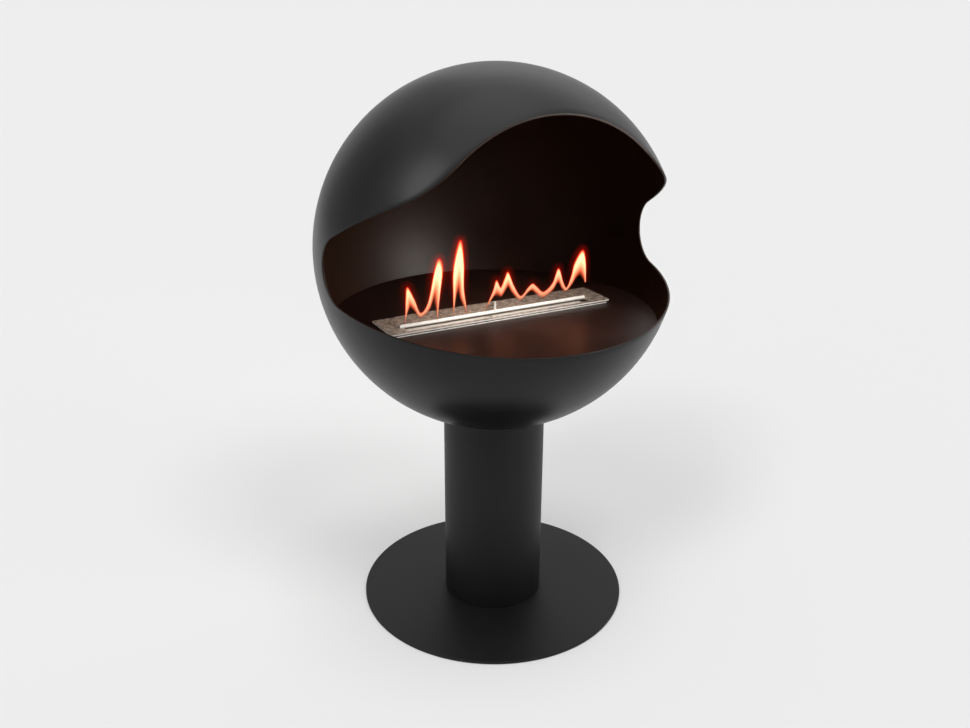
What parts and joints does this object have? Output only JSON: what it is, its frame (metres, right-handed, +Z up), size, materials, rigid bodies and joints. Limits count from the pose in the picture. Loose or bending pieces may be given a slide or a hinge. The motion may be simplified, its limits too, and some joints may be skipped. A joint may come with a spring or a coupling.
{
  "type": "floor-standing bioethanol fireplace",
  "caption": "Hollow steel ball fireplace on a round post and disc foot, with a wide arched opening and a slotted ethanol burner whose damper plate slides over the flame slot.",
  "frame": {"origin": "middle of the foot's underside, on the floor", "axes": "+Z up along the post; -Y out of the opening; +X to the right as seen by someone who faces the opening"},
  "size_m": [0.6, 0.5865, 0.954],
  "materials": {
    "powder_coat": "fine satin black powder coat",
    "hearth_coat": "matt heat-proof black paint",
    "primed_steel": "matt grey primer",
    "zinc_steel": "zinc-plated, satin",
    "stainless_sheet": "heat-dulled brushed stainless",
    "stainless_bright": "polished stainless",
    "ceramic_fibre": "rough white fibre",
    "gasket_black": "matt black",
    "rubber_pad": "matt black"
  },
  "bodies": {
    "stand": {"floor_pad": "rubber_pad", "foot_plate": "powder_coat", "foot_screws": "zinc_steel", "post_foot_ring": "primed_steel", "post_tube": "powder_coat", "post_seat_ring": "primed_steel", "sphere_bolts": "zinc_steel", "bolt_washers": "zinc_steel", "inner_saddle": "primed_steel", "lower_shell": "powder_coat", "upper_shell": "powder_coat", "hearth_lugs": "powder_coat", "hearth_plate": "hearth_coat", "hearth_screws": "hearth_coat"},
    "burner": {"burner_tank": "stainless_sheet", "fuel_tray": "stainless_sheet", "ceramic_wool": "ceramic_fibre", "cover_gasket": "gasket_black", "burner_cover": "stainless_sheet", "cover_screws": "stainless_sheet"},
    "damper": {"damper_plate": "stainless_sheet", "handle_pin": "stainless_bright", "guide_studs": "stainless_bright", "stud_rings": "zinc_steel"}
  },
  "joints": [
    {"name": "burner_lift", "type": "slide", "parent": "stand", "child": "burner", "axis": [0, 0, 1], "range_m": [0, 0.09]},
    {"name": "damper_slide", "type": "slide", "parent": "burner", "child": "damper", "axis": [0, -1, 0], "range_m": [0, 0.016]}
  ]
}
